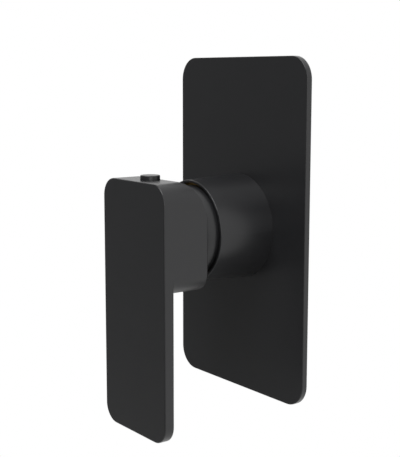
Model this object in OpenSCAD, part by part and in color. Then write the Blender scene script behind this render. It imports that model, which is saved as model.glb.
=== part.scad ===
// Concealed single lever wall mixer for a shower or bath, with its in-wall brass body.
// Millimetres. +Z is up, +X is to the right facing the wall, and +Y goes into the wall.
// The origin lies on the finished wall, on the axis of the cartridge.

/* [Cover plate] */
// Width of the cover plate
plate_w = 88; // [84:1:120]
// Height of the cover plate
plate_h = 150; // [140:1:200]
// Thickness of the cover plate at its rim
plate_t = 2.6; // [2.4:0.1:4]
// Corner radius of the cover plate
plate_corner = 10; // [6:0.5:16]
// Rounding along the front edge of the cover plate
plate_edge = 0.4; // [0.2:0.05:0.8]
// Width of the solid rim around the gasket
plate_rim = 4; // [3:0.5:6]

/* [Gasket] */
// Thickness of the foam gasket behind the plate
gasket_t = 1.2; // [0.8:0.1:1.4]

/* [Sleeve] */
// Length of the sleeve in front of the plate
sleeve_l = 27.1; // [26:0.1:32]
// Outer diameter at the front rim
sleeve_front_d = 44.1; // [43.4:0.1:46]
// How much wider the sleeve is where it meets the plate
sleeve_taper = 3; // [1:0.1:6]
// Wall at the front rim
sleeve_wall = 1; // [0.8:0.05:1.3]
// Rounding of the front rim
sleeve_lip = 0.35; // [0.2:0.05:0.4]

/* [Handle] */
// Width of the lever and its hub
lever_w = 46.5; // [45:0.5:56]
// Thickness of the lever
lever_t = 4.8; // [4:0.1:6]
// Bottom of the lever below the cartridge axis
lever_drop = 85.7; // [70:0.1:110]
// Corner radius of the lever and its hub
lever_corner = 8; // [5:0.5:12]
// Rounding along the edges of the handle
handle_edge = 0.6; // [0.3:0.1:1]

/* [Handle hub] */
// Wall of the hub above its bore
hub_wall_top = 3.3; // [2.8:0.1:7]
// Wall of the hub below its bore
hub_wall_low = 2.5; // [2:0.1:6]
// Depth of the hub behind the lever
hub_depth = 17.3; // [17:0.1:22]
// Space between the sleeve and the back of the hub
hub_gap = 7.7; // [6:0.1:9]
// Radius of the relief that lets the hub tip back
relief_r = 28; // [24:0.5:34]
// Height above the axis where the relief starts
relief_start = 3; // [1:0.5:6]
// Solid metal left in front of the spindle socket
socket_skin = 2.4; // [1.8:0.1:3.5]

/* [Handle screw] */
// Diameter of the grub screw
screw_d = 5; // [4:0.5:5]
// Length of the grub screw
screw_l = 8; // [6:0.5:10]
// Distance from the back of the hub to the screw
screw_back = 13.2; // [12.8:0.1:15]
// Size of the hexagon key of the grub screw
screw_key = 2.5; // [2:0.5:2.5]
// Diameter of the round cover over the screw
cover_d = 8.4; // [7:0.1:10]
// Height of the cover above the hub
cover_h = 2; // [1.5:0.1:3]
// Length of the cover's shank in the screw hole
cover_shank = 5; // [3:0.5:7]

/* [Dome and nut] */
// Gap between the sleeve bore and the dome
dome_gap = 1.35; // [1.2:0.05:1.6]
// Wall of the dome
dome_wall = 1.8; // [1.5:0.1:2]
// Diameter of the opening for the spindle
dome_opening = 27; // [26:0.5:28]
// Length of the threaded foot inside the dome
dome_foot = 5.3; // [4.5:0.1:6]
// Wall of the body's neck around the nut
neck_wall = 2; // [1.8:0.1:2.2]
// Wall of the dome's foot around the thread of the nut
dome_foot_wall = 3.5; // [3:0.1:3.8]
// Length of the thread of the nut
nut_thread_l = 3; // [2.5:0.1:3.5]
// Wall of the nut around the neck of the cartridge
nut_wall = 2.5; // [2.2:0.1:4]
// Ledge in the neck between the thread of the nut and the bore of the cartridge
nut_ledge = 1.45; // [1.2:0.05:1.8]
// Length of the hexagon on the nut
nut_hex_l = 3; // [2:0.1:3.2]

/* [Movement] */
// How far the handle lifts
lift_deg = 25; // [20:1:26]
// How far the handle turns to each side
turn_deg = 45; // [35:1:50]
// How far the pivot sits behind the front of the sleeve
pivot_inset = 1.2; // [0.8:0.1:2]
// Distance from the pivot to the ball on the spindle
arm_l = 11; // [10:0.1:11.5]

/* [Cartridge] */
// Wall of the cartridge housing
housing_wall = 1.9; // [1.6:0.1:2.1]
// Thickness of the shoulder of the housing
shoulder_t = 2; // [1.6:0.1:2.4]
// Distance from the pivot back to the shoulder
shoulder_drop = 5.3; // [5:0.1:5.8]
// Length of the neck of the housing
housing_neck_l = 9.8; // [9:0.1:10.2]
// Wall of the neck of the housing
housing_neck_wall = 1.75; // [1.5:0.05:1.9]
// Gap between the turret's flange and the housing
flange_gap = 0.3; // [0.2:0.05:0.6]
// Thickness of the turret's flange
turret_flange_t = 2.2; // [2:0.1:2.6]
// Height of the rib in the housing that stops the turret
stop_h = 2; // [1.5:0.1:2.4]
// Width of that rib, in degrees
stop_deg = 16; // [10:1:24]
// Height of the guide rails on the disc carrier
rail_h = 1; // [0.8:0.1:1.2]
// Width of the guide rails on the disc carrier
rail_w = 2.4; // [2:0.1:2.8]
// Distance of the guide rails from the middle
rail_x = 7.5; // [7:0.1:7.8]
// Thickness of the disc carrier
carrier_t = 8; // [7.4:0.1:9]
// Thickness of each ceramic disc
disc_t = 4; // [3.5:0.1:4.5]
// Gap between the fixed disc and the housing
fixed_disc_gap = 0.5; // [0.3:0.1:1]
// Depth of the mixing pocket in the moving disc
pocket_h = 2.2; // [1.5:0.1:2.4]
// Thickness of the base
base_t = 5.75; // [5.4:0.05:6.5]
// Thickness of the flange of the base
base_flange_t = 3; // [2.6:0.1:3.4]
// Diameter of the locating pegs
peg_d = 3.8; // [3:0.1:4.2]
// Length of the locating pegs
peg_l = 2; // [1.5:0.1:2.2]
// Distance of each locating peg from the middle
peg_x = 11.5; // [11.2:0.1:12]

/* [Spindle] */
// Side of the square spindle
stem_w = 8; // [7.5:0.1:8.2]
// Diameter of the arm behind the pivot
arm_d = 5.4; // [5:0.1:5.6]
// Diameter of the ball on the arm
ball_d = 6.4; // [6.2:0.1:6.8]
// Diameter of the pivot pin
pin_d = 3; // [2.5:0.1:3.5]

/* [Water ways] */
// Radius of the hot and cold ports
inlet_r = 2.2; // [2:0.05:2.3]
// Radius of the outlet port
outlet_r = 2.8; // [2.4:0.05:2.9]
// Web between the seals of neighbouring ports
port_web = 1; // [0.6:0.1:1.4]
// Ceramic that overlaps the edge of a closed port
disc_land = 0.7; // [0.5:0.05:0.9]
// Width of the rubber of the port seals
seal_w = 1.2; // [1:0.05:1.3]
// Depth of the pockets that hold the port seals
seal_pocket = 1.5; // [1.2:0.1:1.8]
// Height of the port seals above their pockets
seal_proud = 0.3; // [0.2:0.05:0.4]

/* [Valve body] */
// Depth of the pipe axes behind the finished wall
port_depth = 24; // [22:0.5:40]
// How far the cover plate reaches past the pipe ports on each side
plate_cover = 5; // [3:0.5:8]
// Bore of the thread in the pipe ports
port_bore_d = 18.6; // [18:0.1:19]
// Length of the thread in the pipe ports
port_thread_l = 14; // [12:0.5:15]
// Outer diameter of the pipe ports
port_boss_d = 27; // [25:0.5:30]
// Diameter of the collar at the end of each pipe port
port_collar_d = 30; // [28:0.5:32]
// Length of the collar at the end of each pipe port
port_collar_l = 7; // [5:0.5:9]
// Radius of the water way behind each pipe thread
way_r = 5; // [4.5:0.1:5.2]
// Wall of the barrel around the cartridge
barrel_wall = 5.95; // [4:0.05:8]
// Metal behind the pipe ports
back_wall = 2; // [1.5:0.5:4]
// Spacing of the fixing holes, across and up
lug_pitch = 58; // [54:1:62]
// Diameter of the fixing holes
lug_hole_d = 5.5; // [4.5:0.1:6]
// Width of the fixing lugs
lug_w = 14; // [12:0.5:16]
// Thickness of the fixing lugs
lug_t = 5; // [4:0.5:7]

/* [Outlet plug] */
// Length of the thread of the outlet plug
plug_thread_l = 11; // [8:0.5:11.5]
// Diameter of the head of the outlet plug
plug_head_d = 25; // [23:0.5:26]
// Thickness of the head of the outlet plug
plug_head_t = 3.5; // [3:0.1:5]
// Size of the hexagon key of the outlet plug
plug_key = 12; // [8:1:12]
// Thickness of the washer under the outlet plug
washer_t = 1.5; // [1:0.1:2]

/* [Sleeve ring] */
// Section of the ring that seals the sleeve on the neck
ring_d = 1.8; // [1.5:0.1:2]
// Distance from the plate to the middle of that ring
ring_out = 12.4; // [11.8:0.1:14]

/* [Hidden] */
$fn = 96;

// Clearance on the radius of a thread
screw_fit = 0.05;
// Clearance between the turret and the neck of the housing
turn_fit = 0.05;
// Clearance of the pivot pin in the spindle
pin_fit = 0.03;
// Clearance on the radius of what is pressed in
press_fit = 0.02;
// Clearance of pieces that are slipped in by hand
slip = 0.15;
// Play of the turret and of the disc carrier along the axis
end_play = 0.2;
// Film between the two ceramic discs
disc_gap = 0.05;
// Gap between the moving disc and the housing at either end of its travel
travel_gap = 0.5;
// Clearance of the ball in the disc carrier
ball_gap = 0.1;
// Clearance of what tips with the handle
lift_gap = 0.4;
// Clearance of the cover plate round the neck
plate_hole_gap = 0.4;
// What the sealing ring is thinner than its groove and the sleeve leave
ring_slack = 0.03;
// Turn left between the turret and its stop, in degrees
stop_play = 0.5;
// How far a cutting shape reaches past the face that it cuts
cut = 1;

// Radius of the corners of the square spindle
rod_corner = 0.6;
// What the square of the spindle reaches behind the corner that the pivot needs
heel_extra = 1;
// Chamfer at the tip of the grub screw
screw_tip = 0.8;
// Rounding of the screw cover
cover_edge = 0.4;
// Radius and height of the pegs that drive the moving disc
drive_r = 1.3;
drive_h = 1.2;
// Straight start of the ports in the floor of the body
elbow_l = 3;
// What the slanting ways are narrower than their ports
way_step = 0.2;
// Metal between the outlet way and the hot and cold ways
way_web = 1.5;
// Distance from the axis down to the way of the lower outlet
way_low = 12;
// Half of the width of the channel that joins the two outlets
link_half = 2.2;
// Depth behind the wall at which the neck widens to the barrel
barrel_set = 3;

// Finishes
satin_black = [0.16, 0.16, 0.17];
raw_brass = [0.78, 0.62, 0.33];
steel = [0.72, 0.73, 0.75];
ceramic = [0.93, 0.93, 0.9];
white_plastic = [0.88, 0.88, 0.86];
grey_plastic = [0.45, 0.47, 0.5];
rubber_black = [0.09, 0.09, 0.09];

// Levels, all measured outwards from the finished wall
plate_front = plate_t;
sleeve_front = plate_front + sleeve_l;
pivot_out = sleeve_front - pivot_inset;
hub_rear = sleeve_front + hub_gap;
lever_back = hub_rear + hub_depth;
lever_front = lever_back + lever_t;
screw_out = hub_rear + screw_back;
shoulder_out = pivot_out - shoulder_drop;
neck_front = shoulder_out + nut_thread_l;
shoulder_low = shoulder_out - shoulder_t;
flange_top = shoulder_low - end_play;
flange_low = flange_top - turret_flange_t;
turret_front = shoulder_out + housing_neck_l + slip;
carrier_top = flange_low - end_play;
rail_top = carrier_top + rail_h;
carrier_low = carrier_top - carrier_t;
disc_split = carrier_low - disc_t;
fixed_top = disc_split - disc_gap;
fixed_low = fixed_top - disc_t;
base_top = fixed_low - seal_proud;
base_low = base_top - base_t;
base_rim = base_low + base_flange_t;
floor_out = base_low - seal_proud;
ball_out = pivot_out - arm_l;

// Radii, each from the one outside it, from the sleeve in to the cartridge
sleeve_rear_d = sleeve_front_d + sleeve_taper;
sleeve_bore_r = sleeve_front_d / 2 - sleeve_wall;
neck_r = sleeve_bore_r - screw_fit;
nut_r = neck_r - neck_wall;
bore_r = nut_r - nut_ledge;
barrel_r = bore_r + barrel_wall;
cart_r = bore_r - slip;
housing_in_r = cart_r - housing_wall;
stop_r = housing_in_r - stop_h;
turret_flange_r = housing_in_r - flange_gap;
dome_r = sleeve_bore_r - dome_gap;
nut_boss_r = dome_r - dome_foot_wall;
nut_hole_r = nut_boss_r - nut_wall;
housing_neck_r = nut_hole_r - slip;
turret_r = housing_neck_r - housing_neck_wall - turn_fit;
opening_r = dome_opening / 2;
hub_bore_r = dome_r + lift_gap;
lever_top = hub_bore_r + hub_wall_top;
hub_drop = hub_bore_r + hub_wall_low;

// The ball swings as far above the axis as below it, so the arm is cranked by half of the lift
half_lift = lift_deg / 2;
half_travel = arm_l * sin(half_lift);
moving_disc_r = housing_in_r - half_travel - travel_gap;
fixed_disc_r = housing_in_r - fixed_disc_gap;

// The slot of the turret is wide for the stem, and behind its swinging heel narrow for the arm and ball
slot_half_x = stem_w / 2 + slip;
slot_half_z = (turret_front - pivot_out) * tan(lift_deg) + stem_w / 2 / cos(lift_deg) + lift_gap;
ball_slot_x = ball_d / 2 + slip;
ball_slot_z = half_travel + ball_d / 2 + lift_gap;

// The deepest that the rim of the dome reaches into the handle when the handle is lifted
dome_reach = dome_r * cos(asin(opening_r / dome_r) - lift_deg);
hub_floor = pivot_out + dome_reach + lift_gap;
socket_end = lever_front - socket_skin;
body_back = port_depth + port_collar_d / 2 + back_wall;
port_reach = plate_w / 2 - plate_cover;
lug_reach = lug_pitch / sqrt(2);
stem_heel = stem_w / 2 + heel_extra;
slot_step = pivot_out - stem_heel * cos(lift_deg) - stem_w / 2 * sin(lift_deg) - lift_gap;
ring_low = plate_front + ring_out - ring_d / 2 - slip;
hub_h = lever_top + hub_drop;
lever_h = lever_top + lever_drop;

// The moving disc covers the hot and cold ports at every turn and lift, also at their far edges
inlet_reach = moving_disc_r - half_travel - inlet_r - disc_land;
inlet_x = inlet_r + seal_w + port_web / 2;
inlet_low = sqrt(pow(inlet_reach, 2) - pow(inlet_x, 2));
outlet_up = sqrt(pow(inlet_r + outlet_r + 2 * seal_w + port_web, 2) - pow(inlet_x, 2)) - inlet_low;
// Its pocket passes inside them at every turn while it is closed, and slides over them when it opens
pocket_r = inlet_reach - inlet_r - disc_land;
drive_x = (pocket_r + moving_disc_r) / 2;

// Ports as [across, up, radius]: hot, cold, outlet
PORTS = [[-inlet_x, -inlet_low, inlet_r], [inlet_x, -inlet_low, inlet_r], [0, outlet_up, outlet_r]];

// Turns a child so that its own z runs outwards from the wall and its own y runs up
module outward() rotate([90, 0, 0]) children();

// A cylinder along the cartridge axis between two levels
module barrel(r, low, top) translate([0, 0, low]) cylinder(r = r, h = top - low);

// A rectangle with rounded corners
module rounded_rect(w, h, r) {
    square([w - 2 * r, h], center = true);
    square([w, h - 2 * r], center = true);
    for (sx = [-1, 1], sy = [-1, 1])
        translate([sx * (w / 2 - r), sy * (h / 2 - r)]) circle(r);
}

// Half of the section of a slab, from its middle out to its rounded edge
// The edges at both faces are rounded by low_e and top_e
module edge_section(reach, t, low_e, top_e) {
    square([reach - max(low_e, top_e), t]);
    translate([0, low_e]) square([reach, t - low_e - top_e]);
    if (low_e > 0) translate([reach - low_e, low_e]) circle(low_e, $fn = 48);
    if (top_e > 0) translate([reach - top_e, t - top_e]) circle(top_e, $fn = 48);
}

// A slab with round corners of radius r whose long edges are softened
module soft_slab(w, h, t, r, low_e, top_e) {
    for (sx = [0, 180]) rotate([0, 0, sx]) {
        rotate([90, 0, 0]) linear_extrude(height = h - 2 * r, center = true)
            edge_section(w / 2, t, low_e, top_e);
        rotate([90, 0, 90]) linear_extrude(height = w - 2 * r, center = true)
            edge_section(h / 2, t, low_e, top_e);
    }
    for (sx = [0, 1], sy = [0, 1]) mirror([sx, 0, 0]) mirror([0, sy, 0])
        translate([w / 2 - r, h / 2 - r, 0])
            rotate_extrude(angle = 90) edge_section(r, t, low_e, top_e);
}

// A square rod with softened corners, from one level to another
module square_rod(side, low, top) translate([0, 0, low]) linear_extrude(height = top - low)
    rounded_rect(side, side, rod_corner);

// The lowest part of a ring: between two radii and two levels, over an angle
module ring_sector(low_r, top_r, low, top, angle) rotate([0, 0, -90 - angle / 2])
    rotate_extrude(angle = angle) translate([low_r, low]) square([top_r - low_r, top - low]);

// A round rod from one point to another
module rod_between(a, b, r) translate(a)
    rotate([0, acos((b - a)[2] / norm(b - a)), atan2((b - a)[1], (b - a)[0])])
        cylinder(r = r, h = norm(b - a));

// Repeats a child at the hot, cold and outlet ports, with the radius of each in $port_r
module at_ports() for (p = PORTS) translate([p[0], p[1], 0]) {
    $port_r = p[2];
    children();
}

// One-piece casting: the flat lever, and behind it the hub that slides over the dome
module handle() color(satin_black) outward() difference() {
    union() {
        translate([0, (lever_top - lever_drop) / 2, lever_back])
            soft_slab(lever_w, lever_h, lever_t, lever_corner, handle_edge, handle_edge);
        translate([0, (lever_top - hub_drop) / 2, hub_rear])
            soft_slab(lever_w, hub_h, hub_depth + lever_t - handle_edge, lever_corner, handle_edge, 0);
    }
    hub_relief();
    barrel(hub_bore_r, hub_rear - cut, hub_floor);
    square_rod(stem_w + 2 * press_fit, hub_floor - cut, socket_end);
    translate([0, 0, screw_out]) rotate([-90, 0, 0])
        cylinder(r = screw_d / 2 + screw_fit, h = lever_top + cut);
}

// What is cut from the upper back of the hub, on a round line, so that it can tip back
module hub_relief() difference() {
    translate([-lever_w, relief_start, hub_rear - cut]) cube([2 * lever_w, relief_r, relief_r + cut]);
    translate([-lever_w - cut, relief_start, hub_rear + relief_r]) rotate([0, 90, 0])
        cylinder(r = relief_r, h = 2 * lever_w + 2 * cut);
}

// Push-in cover over the screw hole on top of the hub
module screw_cover() color(satin_black) translate([0, -screw_out, lever_top]) {
    cylinder(r = cover_d / 2, h = cover_h - cover_edge);
    cylinder(r = cover_d / 2 - cover_edge, h = cover_h);
    translate([0, 0, cover_h - cover_edge]) rotate_extrude()
        translate([cover_d / 2 - cover_edge, 0]) circle(cover_edge, $fn = 48);
    translate([0, 0, -cover_shank]) cylinder(r = screw_d / 2, h = cover_shank);
}

// Set screw that holds the handle on the spindle, with a socket for a hexagon key
module grub_screw() color(steel) translate([0, -screw_out, stem_w / 2]) difference() {
    union() {
        cylinder(r1 = screw_d / 2 - screw_tip, r2 = screw_d / 2, h = screw_tip);
        translate([0, 0, screw_tip]) cylinder(r = screw_d / 2, h = screw_l - screw_tip);
    }
    translate([0, 0, screw_l / 2]) cylinder(r = screw_key / 2 / cos(30), h = screw_l, $fn = 6);
}

// Square spindle with the cranked arm and the ball that push the disc carrier
module spindle() color(steel) outward() difference() {
    union() {
        square_rod(stem_w, pivot_out - stem_heel, socket_end - slip);
        translate([0, 0, pivot_out]) rotate([half_lift, 0, 0]) translate([0, 0, -arm_l]) {
            cylinder(r = arm_d / 2, h = arm_l - stem_heel + cut);
            sphere(ball_d / 2);
        }
    }
    cross_pin(pin_d / 2 + pin_fit, stem_w);
}

// The line of the pivot pin, through the turret and the spindle
module cross_pin(r, half) translate([-half, 0, pivot_out]) rotate([0, 90, 0]) cylinder(r = r, h = 2 * half);

// Steel pin on which the spindle tips
module pivot_pin() color(steel) outward() cross_pin(pin_d / 2, turret_r - 2 * slip);

// Turns in the neck of the housing, and carries the pin and the guides of the disc carrier
// Its flange is cut back where the stop of the housing runs
module turret() color(white_plastic) outward() difference() {
    union() {
        barrel(turret_flange_r, flange_low, flange_top);
        barrel(turret_r, flange_top, turret_front);
    }
    translate([-slot_half_x, -slot_half_z, slot_step])
        cube([2 * slot_half_x, 2 * slot_half_z, pivot_out]);
    translate([-ball_slot_x, -ball_slot_z, flange_low - cut])
        cube([2 * ball_slot_x, 2 * ball_slot_z, pivot_out]);
    for (sx = [-1, 1])
        translate([sx * rail_x - rail_w / 2 - slip, -cart_r, flange_low - cut])
            cube([rail_w + 2 * slip, 2 * cart_r, cut + rail_h]);
    cross_pin(pin_d / 2 + press_fit, turret_r + cut);
    ring_sector(stop_r - slip, cart_r, flange_low - cut, flange_top + end_play / 2,
        2 * (turn_deg + stop_play) + stop_deg);
}

// Plastic block on the moving disc: the ball sits in its pocket and its rails run in the turret
module disc_carrier() color(grey_plastic) outward() translate([0, half_travel, 0]) {
    difference() {
        barrel(moving_disc_r, carrier_low, carrier_top);
        barrel(ball_d / 2 + ball_gap, ball_out - ball_d / 2 - ball_gap, carrier_top + cut);
    }
    intersection() {
        barrel(moving_disc_r, carrier_top, rail_top);
        for (sx = [-1, 1]) translate([sx * rail_x - rail_w / 2, -cart_r, carrier_top])
            cube([rail_w, 2 * cart_r, rail_h]);
    }
    drive_pegs(drive_r - press_fit, drive_h - press_fit);
}

// The two pegs that turn the moving disc with its carrier
module drive_pegs(r, h) for (sx = [-1, 1])
    translate([sx * drive_x, 0, carrier_low - h]) cylinder(r = r, h = h);

// Ceramic disc that slides and turns, with the long pocket where hot and cold water mix
module moving_disc() color(ceramic) outward() translate([0, half_travel, 0]) difference() {
    barrel(moving_disc_r, disc_split, carrier_low);
    translate([0, 0, disc_split - cut]) linear_extrude(height = pocket_h + cut) {
        square([2 * pocket_r, 2 * half_travel], center = true);
        for (sy = [-1, 1]) translate([0, sy * half_travel]) circle(pocket_r);
    }
    drive_pegs(drive_r, drive_h);
}

// Ceramic disc that stands still on its seals
module fixed_disc() color(ceramic) outward() difference() {
    barrel(fixed_disc_r, fixed_low, fixed_top);
    at_ports() barrel($port_r, fixed_low - cut, fixed_top + cut);
}

// Rubber ring round each port, between two levels
module port_rings(low, top) color(rubber_black) outward() at_ports() difference() {
    barrel($port_r + seal_w, low, top);
    barrel($port_r, low - cut, top + cut);
}

// Seals between the base and the fixed disc
module disc_seals() port_rings(base_top - seal_pocket, fixed_low);

// Seals between the base and the floor of the valve body
module base_seals() port_rings(floor_out, base_low + seal_pocket);

// Plastic base that closes the cartridge, with its ports, seal pockets and locating pegs
module cartridge_base() color(white_plastic) outward() {
    difference() {
        union() {
            barrel(cart_r, base_low, base_rim);
            barrel(housing_in_r - screw_fit, base_rim, base_top);
        }
        at_ports() barrel($port_r, base_low - cut, base_top + cut);
        at_ports() barrel($port_r + seal_w + press_fit, base_top - seal_pocket, base_top + cut);
        at_ports() barrel($port_r + seal_w + press_fit, base_low - cut, base_low + seal_pocket);
    }
    peg_row(peg_d / 2, base_low - peg_l, base_low);
}

// The pair of pegs that stop the cartridge from turning
module peg_row(r, low, top) for (sx = [-1, 1]) translate([sx * peg_x, 0, 0]) barrel(r, low, top);

// Plastic housing of the cartridge, with the shoulder that the nut presses on
// The rib inside it stops the turret at either end of its turn
module cartridge_housing() color(grey_plastic) outward() {
    difference() {
        union() {
            barrel(cart_r, base_rim, shoulder_out);
            barrel(housing_neck_r, shoulder_out, shoulder_out + housing_neck_l);
        }
        barrel(housing_in_r, base_rim - cut, shoulder_low);
        barrel(turret_r + turn_fit, base_rim, shoulder_out + housing_neck_l + cut);
    }
    ring_sector(stop_r, housing_in_r + housing_wall / 2, rail_top + end_play,
        shoulder_low + shoulder_t / 2, stop_deg);
}

// Brass nut that clamps the cartridge, and carries the dome on its outer thread
module retaining_nut() color(raw_brass) outward() difference() {
    union() {
        barrel(nut_r, shoulder_out, neck_front);
        barrel(nut_boss_r, neck_front, neck_front + dome_foot);
        translate([0, 0, neck_front + dome_foot])
            cylinder(r = nut_boss_r - slip, h = nut_hex_l, $fn = 6);
    }
    barrel(nut_hole_r, shoulder_out - cut, neck_front + dome_foot + nut_hex_l + cut);
}

// Ball-shaped cap, centred on the pivot, that the hub slides over
module dome_collar() color(satin_black) outward() difference() {
    intersection() {
        translate([0, 0, pivot_out]) sphere(dome_r);
        barrel(dome_r + cut, neck_front, pivot_out + dome_r);
    }
    intersection() {
        translate([0, 0, pivot_out]) sphere(dome_r - dome_wall);
        barrel(dome_r + cut, neck_front + dome_foot, pivot_out + dome_r);
    }
    barrel(nut_boss_r + screw_fit, neck_front - cut, neck_front + dome_foot + cut);
    barrel(opening_r, pivot_out, pivot_out + dome_r + cut);
}

// Slightly tapered tube, screwed on the neck of the body, that clamps the cover plate
module sleeve() color(satin_black) outward() difference() {
    union() {
        translate([0, 0, plate_front])
            cylinder(r1 = sleeve_rear_d / 2, r2 = sleeve_front_d / 2, h = sleeve_l - sleeve_lip);
        barrel(sleeve_front_d / 2 - sleeve_lip, plate_front, sleeve_front);
        translate([0, 0, sleeve_front - sleeve_lip]) rotate_extrude()
            translate([sleeve_front_d / 2 - sleeve_lip, 0]) circle(sleeve_lip, $fn = 48);
    }
    barrel(sleeve_bore_r, plate_front - cut, sleeve_front + cut);
}

// Rubber ring in the groove of the neck, which seals and steadies the sleeve
module sleeve_ring() color(rubber_black) outward() translate([0, 0, plate_front + ring_out])
    rotate_extrude() translate([sleeve_bore_r - ring_d / 2, 0]) circle(ring_d / 2 - ring_slack, $fn = 48);

// Cover plate with a hole for the neck and a shallow tray for the gasket in its back
module cover_plate() color(satin_black) outward() difference() {
    soft_slab(plate_w, plate_h, plate_t, plate_corner, 0, plate_edge);
    gasket_area(-cut, gasket_t, 0);
    barrel(neck_r + plate_hole_gap, -cut, plate_front + cut);
}

// The tray behind the plate, or what lies in it with some clearance
module gasket_area(low, top, clear) translate([0, 0, low]) linear_extrude(height = top - low)
    rounded_rect(plate_w - 2 * plate_rim - 2 * clear, plate_h - 2 * plate_rim - 2 * clear,
        max(plate_corner - plate_rim, 1) - clear);

// Foam gasket that seals the plate to the wall and round the neck
module plate_gasket() color(rubber_black) outward() difference() {
    gasket_area(0, gasket_t, slip);
    barrel(neck_r + screw_fit, -cut, gasket_t + cut);
}

// Brass casting behind the wall: barrel, neck, four pipe ports and four fixing lugs
module valve_body() color(raw_brass) outward() difference() {
    union() {
        barrel(neck_r, -barrel_set, neck_front);
        barrel(barrel_r, -body_back, -barrel_set);
        for (a = [0 : 90 : 270]) pipe_axis(a) {
            cylinder(r = port_boss_d / 2, h = port_reach);
            translate([0, 0, port_reach - port_collar_l]) cylinder(r = port_collar_d / 2, h = port_collar_l);
        }
        for (a = [45 : 90 : 315]) rotate([0, 0, a]) fixing_lug();
    }
    barrel(bore_r, floor_out, neck_front + cut);
    barrel(nut_r + screw_fit, shoulder_out - slip, neck_front + cut);
    at_ports() barrel($port_r, floor_out - elbow_l, floor_out + cut);
    peg_row(peg_d / 2 + slip, floor_out - peg_l, floor_out + cut);
    for (a = [0 : 90 : 270]) pipe_axis(a)
        translate([0, 0, port_reach - port_thread_l]) cylinder(r = port_bore_d / 2, h = port_thread_l + cut);
    // slanting ways from the hot and cold ports of the floor out to the hot and cold threads
    for (sx = [-1, 1]) rod_between([sx * inlet_x, -inlet_low, floor_out - elbow_l + inlet_r],
        [sx * (way_r + way_web + inlet_r), 0, -port_depth], inlet_r - way_step);
    for (a = [0, 180]) pipe_axis(a) translate([0, 0, way_r + way_web]) cylinder(r = way_r, h = port_reach);
    // straight way to the outlets, which a flat channel joins
    translate([0, outlet_up, 0]) barrel(outlet_r, -port_depth, floor_out);
    pipe_axis(90) translate([0, 0, way_web]) cylinder(r = way_r, h = port_reach);
    pipe_axis(270) translate([0, 0, way_low]) cylinder(r = way_r, h = port_reach);
    translate([-link_half, -way_low - way_r, -port_depth - way_r])
        cube([2 * link_half, way_low + way_r + way_web + cut, 2 * way_r]);
    ring_groove();
    for (a = [45 : 90 : 315]) rotate([0, 0, a]) translate([lug_reach, 0, 0])
        barrel(lug_hole_d / 2, -body_back - cut, lug_t - body_back + cut);
}

// Puts a child's own z along a pipe port: 0 to the right, 90 up, 180 to the left, 270 down
module pipe_axis(a) translate([0, 0, -port_depth]) rotate([0, 0, a]) rotate([0, 90, 0]) children();

// One lug at the back of the body, along its own x
module fixing_lug() translate([0, 0, -body_back]) {
    translate([0, -lug_w / 2, 0]) cube([lug_reach, lug_w, lug_t]);
    translate([lug_reach, 0, 0]) cylinder(r = lug_w / 2, h = lug_t);
}

// The groove of the rubber ring, round the neck
module ring_groove() difference() {
    barrel(neck_r + cut, ring_low, ring_low + ring_d + 2 * slip);
    barrel(sleeve_bore_r - ring_d, ring_low - cut, ring_low + ring_d + 2 * slip + cut);
}

// Brass plug in the lower outlet, which is not used on a shower
module outlet_plug() color(raw_brass) outward() pipe_axis(270) translate([0, 0, port_reach]) difference() {
    union() {
        translate([0, 0, -plug_thread_l])
            cylinder(r = port_bore_d / 2 - screw_fit, h = plug_thread_l + washer_t);
        translate([0, 0, washer_t]) cylinder(r = plug_head_d / 2, h = plug_head_t);
    }
    translate([0, 0, -plug_thread_l / 2])
        cylinder(r = plug_key / 2 / cos(30), h = plug_thread_l + washer_t + plug_head_t, $fn = 6);
}

// Fibre washer under the head of the plug
module plug_washer() color(rubber_black) outward() pipe_axis(270) translate([0, 0, port_reach]) difference() {
    cylinder(r = plug_head_d / 2 - slip, h = washer_t);
    translate([0, 0, -cut]) cylinder(r = port_bore_d / 2 + screw_fit, h = washer_t + 2 * cut);
}

handle();
screw_cover();
grub_screw();
spindle();
pivot_pin();
turret();
disc_carrier();
moving_disc();
fixed_disc();
disc_seals();
cartridge_base();
base_seals();
cartridge_housing();
retaining_nut();
dome_collar();
sleeve();
sleeve_ring();
cover_plate();
plate_gasket();
valve_body();
outlet_plug();
plug_washer();
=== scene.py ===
import math

import bmesh
import bpy
from mathutils import Matrix, Vector

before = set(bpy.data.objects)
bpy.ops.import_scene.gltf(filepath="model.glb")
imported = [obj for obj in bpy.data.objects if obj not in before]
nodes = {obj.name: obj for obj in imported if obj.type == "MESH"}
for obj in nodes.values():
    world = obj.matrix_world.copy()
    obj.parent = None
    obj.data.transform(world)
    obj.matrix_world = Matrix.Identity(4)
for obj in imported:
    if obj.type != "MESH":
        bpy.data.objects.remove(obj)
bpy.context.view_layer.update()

MM = 0.001


# ---- Valve body -----------------------------------------------------------
# A sand-cast brass body that is built into the wall: barrel, neck, four pipe
# ports and four fixing lugs. Its neck, port ends and pipe threads are turned,
# but its finish gives the whole body the grainy skin of the mould.

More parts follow.
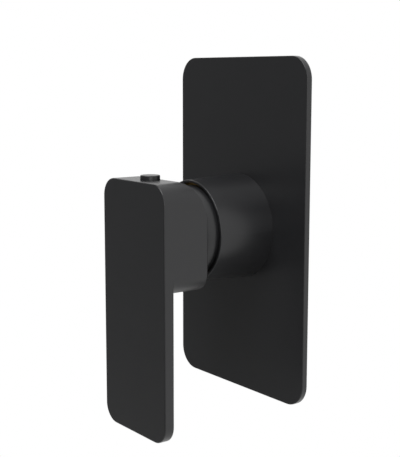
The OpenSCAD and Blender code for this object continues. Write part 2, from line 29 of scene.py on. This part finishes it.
class Wire:
    """An output of a material's nodes. Arithmetic on it adds Math nodes to that material."""

    def __init__(self, tree, socket=None):
        self.tree, self.socket = tree, socket

    def node(self, kind, settings=None, inputs=None, output=0):
        """Adds a node: its settings come first, then the values or the wires of its sockets."""
        made = self.tree.nodes.new(kind)
        for name, value in (settings or {}).items():
            if name == "stops":
                while len(made.color_ramp.elements) < len(value):
                    made.color_ramp.elements.new(0.5)
                for element, (place, shade) in zip(made.color_ramp.elements, value):
                    element.position, element.color = place, (*shade, 1.0)
            else:
                setattr(made, name, value)
        for name, value in (inputs or {}).items():
            if isinstance(value, Wire):
                self.tree.links.new(value.socket, made.inputs[name])
            else:
                made.inputs[name].default_value = value
        return Wire(self.tree, made.outputs[output] if len(made.outputs) else None)

    def math(self, operation, a, b=0.0, clamp=False):
        return self.node("ShaderNodeMath", {"operation": operation, "use_clamp": clamp}, {0: a, 1: b})

    def __add__(self, other):
        return self.math("ADD", self, other)

    def __sub__(self, other):
        return self.math("SUBTRACT", self, other)

    def __rsub__(self, other):
        return self.math("SUBTRACT", other, self)

    def __mul__(self, other):
        return self.math("MULTIPLY", self, other)

    def __truediv__(self, other):
        return self.math("DIVIDE", self, other)

    __radd__, __rmul__ = __add__, __mul__

    def between(self, low, high):
        """0 where this is below low, 1 where it is above high, and smooth from one to the other."""
        return self.node("ShaderNodeMapRange", {"interpolation_type": "SMOOTHSTEP"},
                         {"Value": self, "From Min": low, "From Max": high})


def grain(start, scale, detail=3.0, roughness=0.55, stretch=(1, 1, 1)):
    """Noise in the object's own space, in features per metre, from 0 to 1."""
    place = start.node("ShaderNodeTexCoord", output="Object")
    place = start.node("ShaderNodeMapping", None, {"Vector": place, "Scale": stretch})
    return start.node("ShaderNodeTexNoise", None,
                      {"Vector": place, "Scale": scale, "Detail": detail, "Roughness": roughness})


def blend(start, mask, low, high):
    """A colour between two colours."""
    return start.node("ShaderNodeMix", {"data_type": "RGBA"}, {0: mask, 6: (*low, 1), 7: (*high, 1)}, output=2)


def finish(name, colour, roughness, height=None, bump=0.0, reach=MM, **constant):
    """A material from a function of its first wire for each thing that changes over the surface.

    colour and roughness may be plain values. height is the relief that the Bump node
    reads, and reach is how deep it is in metres.
    """
    material = bpy.data.materials.new(name)
    material.use_nodes = True
    shader = next(n for n in material.node_tree.nodes if n.type == "BSDF_PRINCIPLED")
    start = Wire(material.node_tree)
    changing = {"Base Color": colour, "Roughness": roughness}
    if height:
        changing["Normal"] = lambda w: w.node("ShaderNodeBump", None,
                                              {"Height": height(w), "Strength": bump, "Distance": reach})
    for socket, value in changing.items():
        if callable(value):
            material.node_tree.links.new(value(start).socket, shader.inputs[socket])
        else:
            shader.inputs[socket].default_value = value
    for socket, value in constant.items():
        shader.inputs[socket.replace("_", " ")].default_value = value
    return material


def coat(material, *names):
    """Gives CAD nodes their finish."""
    for name in names:
        mesh = nodes[name].data
        mesh.materials.clear()
        mesh.materials.append(material)


cast_brass = finish(
    "cast_brass",
    colour=lambda w: blend(w, grain(w, 160), (0.50, 0.32, 0.10), (0.66, 0.46, 0.19)),
    roughness=lambda w: 0.34 + 0.2 * grain(w, 420),
    height=lambda w: grain(w, 1500, detail=4.0), bump=0.35, reach=0.3 * MM,
    Metallic=1.0)
coat(cast_brass, "valve_body", "outlet_plug", "retaining_nut")

fibre = finish(
    "pressed_fibre",
    colour=lambda w: blend(w, grain(w, 2500), (0.20, 0.03, 0.02), (0.34, 0.07, 0.04)),
    roughness=0.8)
coat(fibre, "plug_washer")


# ---- Cartridge ------------------------------------------------------------
# Bought in as one unit: a plastic base and housing around two ceramic discs,
# a carrier and a turret. The nut clamps it on rubber rings in the body.

moulded_white = finish(
    "moulded_white",
    colour=lambda w: blend(w, grain(w, 90), (0.72, 0.72, 0.69), (0.78, 0.78, 0.75)),
    roughness=lambda w: 0.42 + 0.1 * grain(w, 900),
    height=lambda w: grain(w, 4000), bump=0.1, reach=0.05 * MM)
coat(moulded_white, "turret", "cartridge_base")

moulded_grey = finish(
    "moulded_grey",
    colour=lambda w: blend(w, grain(w, 90), (0.16, 0.17, 0.19), (0.20, 0.21, 0.23)),
    roughness=lambda w: 0.42 + 0.1 * grain(w, 900),
    height=lambda w: grain(w, 4000), bump=0.1, reach=0.05 * MM)
coat(moulded_grey, "cartridge_housing", "disc_carrier")

lapped_ceramic = finish(
    "lapped_ceramic",
    colour=lambda w: blend(w, grain(w, 700), (0.84, 0.83, 0.79), (0.88, 0.87, 0.83)),
    roughness=lambda w: 0.12 + 0.08 * grain(w, 300))
coat(lapped_ceramic, "moving_disc", "fixed_disc")

rubber = finish(
    "black_rubber",
    colour=lambda w: blend(w, grain(w, 1200), (0.010, 0.010, 0.010), (0.020, 0.020, 0.020)),
    roughness=lambda w: 0.55 + 0.15 * grain(w, 600))
coat(rubber, "disc_seals", "base_seals", "sleeve_ring")

turned_steel = finish(
    "turned_steel",
    colour=lambda w: blend(w, grain(w, 300), (0.52, 0.53, 0.55), (0.62, 0.63, 0.65)),
    roughness=lambda w: 0.2 + 0.15 * grain(w, 800, stretch=(1, 0.1, 1)),
    Metallic=1.0)
coat(turned_steel, "pivot_pin", "spindle", "grub_screw")


# ---- Cover plate ----------------------------------------------------------
# A pressed metal plate that hides the hole in the wall, on a foam gasket that
# keeps water out. The sleeve clamps it. Coated satin black.

foam = finish(
    "closed_cell_foam",
    colour=lambda w: blend(w, grain(w, 1800), (0.012, 0.012, 0.012), (0.035, 0.035, 0.035)),
    roughness=0.9,
    height=lambda w: grain(w, 2600), bump=0.4, reach=0.3 * MM)
coat(foam, "plate_gasket")

satin_black = finish(
    "satin_black",
    colour=lambda w: blend(w, grain(w, 60, detail=2.0), (0.0150, 0.0152, 0.0165), (0.0175, 0.0178, 0.0192)),
    roughness=lambda w: 0.30 + 0.05 * grain(w, 240),
    height=lambda w: grain(w, 2200, detail=2.0), bump=0.06, reach=0.05 * MM)
coat(satin_black, "cover_plate", "sleeve", "dome_collar", "handle", "screw_cover")


# ---- Wall, floor, light and camera ----------------------------------------
# The mixer is seen on a plain white wall. The wall has one side: from behind
# it is clear, so that the body in the wall can be looked at too.

def sheet(name, corners):
    """A flat four-sided piece of the surroundings."""
    mesh = bpy.data.meshes.new(name)
    mesh.from_pydata(corners, [], [range(4)])
    made = bpy.data.objects.new(name, mesh)
    bpy.context.scene.collection.objects.link(made)
    return made


wall_y = 0.4 * MM
wall = sheet("wall", [(-4, wall_y, -1.1), (4, wall_y, -1.1), (4, wall_y, 3), (-4, wall_y, 3)])
wall.visible_diffuse = False
wall.visible_shadow = False
white_wall = bpy.data.materials.new("white_wall")
white_wall.use_nodes = True
tree = white_wall.node_tree
tree.nodes.clear()
start = Wire(tree)
glow = start.node("ShaderNodeEmission", None, {"Color": (1, 1, 1, 1), "Strength": 1.0})
clear = start.node("ShaderNodeBsdfTransparent")
behind = start.node("ShaderNodeNewGeometry", output="Backfacing")
skin = start.node("ShaderNodeMixShader", None, {0: behind, 1: glow, 2: clear})
start.node("ShaderNodeOutputMaterial", None, {"Surface": skin})
wall.data.materials.append(white_wall)

floor = sheet("floor", [(-4, 4, -1.1), (-4, -4, -1.1), (4, -4, -1.1), (4, 4, -1.1)])
floor.data.materials.append(finish(
    "pale_floor",
    colour=lambda w: blend(w, grain(w, 3), (0.80, 0.80, 0.79), (0.84, 0.84, 0.83)),
    roughness=0.6))

world = bpy.data.worlds.new("studio")
bpy.context.scene.world = world
world.use_nodes = True
tree = world.node_tree
tree.nodes.clear()
start = Wire(tree)
seen = start.node("ShaderNodeLightPath", output="Is Camera Ray")
room = 0.2
level = room + (1 - room) * seen
air = start.node("ShaderNodeBackground", None, {"Color": (1, 1, 1, 1), "Strength": level})
start.node("ShaderNodeOutputWorld", None, {"Surface": air})


def lamp(name, place, target, size, power):
    """A square soft light that faces a point."""
    data = bpy.data.lights.new(name, "AREA")
    data.size, data.energy = size, power
    made = bpy.data.objects.new(name, data)
    made.location = place
    made.rotation_euler = (Vector(target) - Vector(place)).to_track_quat("-Z", "Y").to_euler()
    bpy.context.scene.collection.objects.link(made)


lamp("overhead", (0.3, -0.8, 1.6), (0, 0, 0), 1.6, 30)
lamp("right", (1.8, -0.9, 0.4), (0, 0, 0), 1.2, 12)

camera = bpy.data.cameras.new("camera")
camera.lens = 79.451
camera.sensor_width = 36
eye = bpy.data.objects.new("camera", camera)
eye.location = (0.352874, -0.284723, 0.066820)
look = Vector((-0.79571, 0.58681, -0.14999))
roll = math.radians(0.055)
eye.rotation_mode = "QUATERNION"
eye.rotation_quaternion = (look.to_track_quat("-Z", "Y").to_matrix() @ Matrix.Rotation(roll, 3, "Z")).to_quaternion()
bpy.context.scene.collection.objects.link(eye)
bpy.context.scene.camera = eye
bpy.context.scene.view_settings.view_transform = "Standard"
